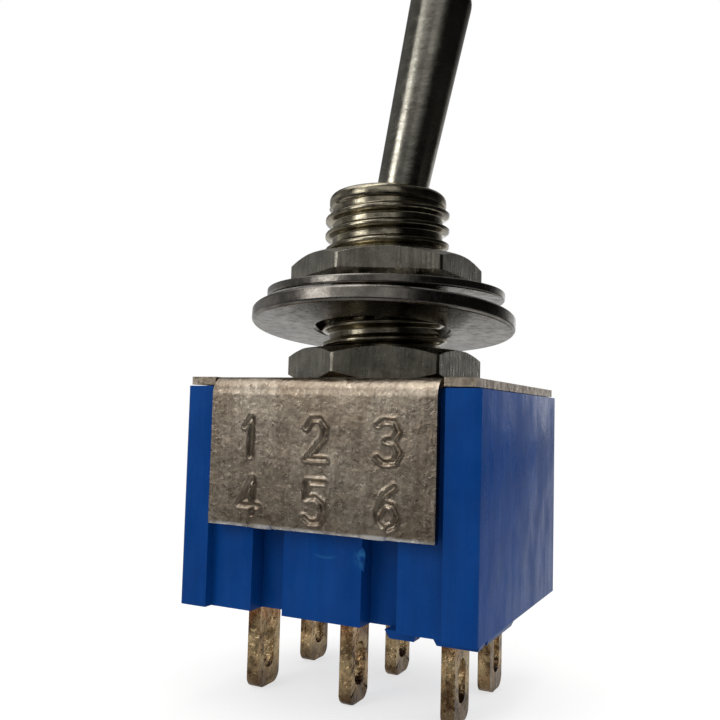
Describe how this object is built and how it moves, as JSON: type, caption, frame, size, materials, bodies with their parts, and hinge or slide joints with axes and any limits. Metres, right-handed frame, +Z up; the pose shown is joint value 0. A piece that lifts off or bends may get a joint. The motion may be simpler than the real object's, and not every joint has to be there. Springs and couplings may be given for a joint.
{
  "type": "panel toggle switch",
  "caption": "Miniature toggle switch with a threaded panel bushing, hexagon nuts, washers and solder-lug terminals under a moulded case.",
  "frame": {"origin": "On the bushing's axis, in the plane of the sheet frame's top face, on which the lower nut stands.", "axes": "X along the lever's throw, Y across the case from the front flap to the rear flap, Z up along the bushing."},
  "size_m": [0.0136, 0.0128, 0.0334],
  "materials": {
    "case_plastic": "deep blue moulded thermoset with a soft sheen",
    "frame_sheet": "tin-plated sheet steel, dull and speckled",
    "bushing_metal": "nickel-plated brass, turned and threaded",
    "nut_metal": "nickel-plated brass hexagon",
    "washer_metal": "nickel-plated stamped steel",
    "lever_metal": "nickel-plated turned brass",
    "pin_steel": "ground steel pin",
    "actuator_plastic": "natural moulded nylon",
    "contact_brass": "plain brass contact parts",
    "spring_steel": "drawn spring wire",
    "terminal_brass": "tarnished tinned brass strip"
  },
  "bodies": {
    "switch_body": {"case": "case_plastic", "frame": "frame_sheet", "bushing": "bushing_metal", "lower_nut": "nut_metal", "key_washer": "washer_metal", "lock_washer": "washer_metal", "upper_nut": "nut_metal", "terminal_front_left": "terminal_brass", "terminal_front_middle": "terminal_brass", "terminal_front_right": "terminal_brass", "terminal_rear_left": "terminal_brass", "terminal_rear_middle": "terminal_brass", "terminal_rear_right": "terminal_brass"},
    "lever_assembly": {"lever": "lever_metal", "pivot_pin": "pin_steel", "actuator": "actuator_plastic", "spring_front": "spring_steel", "spring_rear": "spring_steel"},
    "plunger_f": {"plunger_front": "contact_brass"},
    "plunger_r": {"plunger_rear": "contact_brass"},
    "rocker_f": {"rocker_front": "contact_brass"},
    "rocker_r": {"rocker_rear": "contact_brass"}
  },
  "joints": [
    {"name": "lever_throw", "type": "hinge", "parent": "switch_body", "child": "lever_assembly", "pos_m": [0, 0, 0.0057], "axis": [0, 1, 0], "range_deg": [-23, 0]},
    {"name": "plunger_front_slide", "type": "slide", "parent": "lever_assembly", "child": "plunger_f", "axis": [0.1994, 0, 0.9799], "range_m": [0, 0.0004], "stiffness_N_per_m": 500, "springref_m": -0.0006, "deforming": ["spring_front"]},
    {"name": "plunger_rear_slide", "type": "slide", "parent": "lever_assembly", "child": "plunger_r", "axis": [0.1994, 0, 0.9799], "range_m": [0, 0.0004], "stiffness_N_per_m": 500, "springref_m": -0.0006, "deforming": ["spring_rear"]},
    {"name": "rocker_front_tip", "type": "hinge", "parent": "switch_body", "child": "rocker_f", "pos_m": [0, -0.0024, -0.00602], "axis": [0, 1, 0], "range_deg": [0, 13]},
    {"name": "rocker_rear_tip", "type": "hinge", "parent": "switch_body", "child": "rocker_r", "pos_m": [0, 0.0024, -0.00602], "axis": [0, 1, 0], "range_deg": [0, 13]}
  ],
  "couplings": [
    {"joint": "rocker_front_tip", "follows": "lever_throw", "ratio": -0.56522},
    {"joint": "rocker_rear_tip", "follows": "lever_throw", "ratio": -0.56522}
  ]
}
